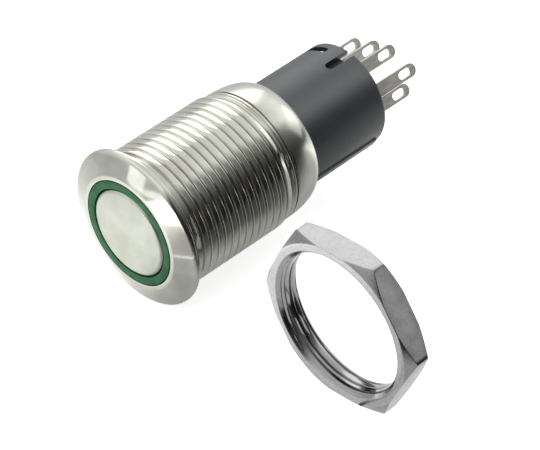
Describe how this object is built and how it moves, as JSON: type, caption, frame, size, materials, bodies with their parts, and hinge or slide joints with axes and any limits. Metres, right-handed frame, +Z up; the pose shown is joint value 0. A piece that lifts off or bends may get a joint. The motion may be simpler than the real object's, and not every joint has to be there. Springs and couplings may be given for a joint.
{
  "type": "push button switch",
  "caption": "Illuminated metal push button switch with a threaded barrel, green light ring, rear solder tails and a thin hexagon nut standing beside it.",
  "frame": {"origin": "centre of the button's front face, with the button out", "axes": "+Y along the switch's axis from the button to the solder tails, +Z up as pictured, +X towards the nut"},
  "size_m": [0.0462, 0.0386, 0.018],
  "materials": {
    "body_metal": "turned, satin",
    "button_metal": "satin",
    "nut_metal": "brushed",
    "spring_steel": "drawn",
    "green_lens": "translucent, unlit",
    "lamp": "clear resin",
    "board": "solder mask",
    "dark_plastic": "moulded",
    "black_plastic": "moulded",
    "pale_plastic": "moulded",
    "seal_rubber": "matt",
    "red_insulation": "plain",
    "black_insulation": "plain",
    "tail_metal": "silver plated",
    "blade_metal": "rolled bronze",
    "contact_metal": "silver"
  },
  "bodies": {
    "housing": {"bezel_body": "body_metal", "light_ring": "green_lens", "return_spring": "spring_steel", "guide_bush": "pale_plastic", "led_board": "board", "led_1": "lamp", "led_2": "lamp", "led_3": "lamp", "led_4": "lamp", "housing_seal": "seal_rubber", "rear_housing": "dark_plastic", "terminal_block": "black_plastic", "terminal_nc": "tail_metal", "terminal_common": "tail_metal", "terminal_no": "tail_metal", "terminal_led_plus": "tail_metal", "terminal_led_minus": "tail_metal", "led_lead_plus": "red_insulation", "led_lead_minus": "black_insulation", "fixed_contact_nc": "contact_metal", "fixed_contact_no": "contact_metal", "pivot_pin": "spring_steel", "mounting_nut": "nut_metal"},
    "button": {"button_cap": "button_metal", "button_seal": "seal_rubber", "retaining_clip": "spring_steel", "plunger": "pale_plastic"},
    "contact": {"contact_blade": "blade_metal", "moving_contact": "contact_metal"}
  },
  "joints": [
    {"name": "button_press", "type": "slide", "parent": "housing", "child": "button", "axis": [0, 1, 0], "range_m": [0, 0.0025], "stiffness_N_per_m": 800, "springref_m": -0.0025, "deforming": ["return_spring"]},
    {"name": "contact_swing", "type": "hinge", "parent": "housing", "child": "contact", "pos_m": [-0.00122, 0.0248, 0.0023], "axis": [-0.4695, 0, 0.8829], "range_deg": [0, 10]}
  ],
  "couplings": [
    {"joint": "contact_swing", "follows": "button_press", "rad_per_m": 69.8}
  ]
}
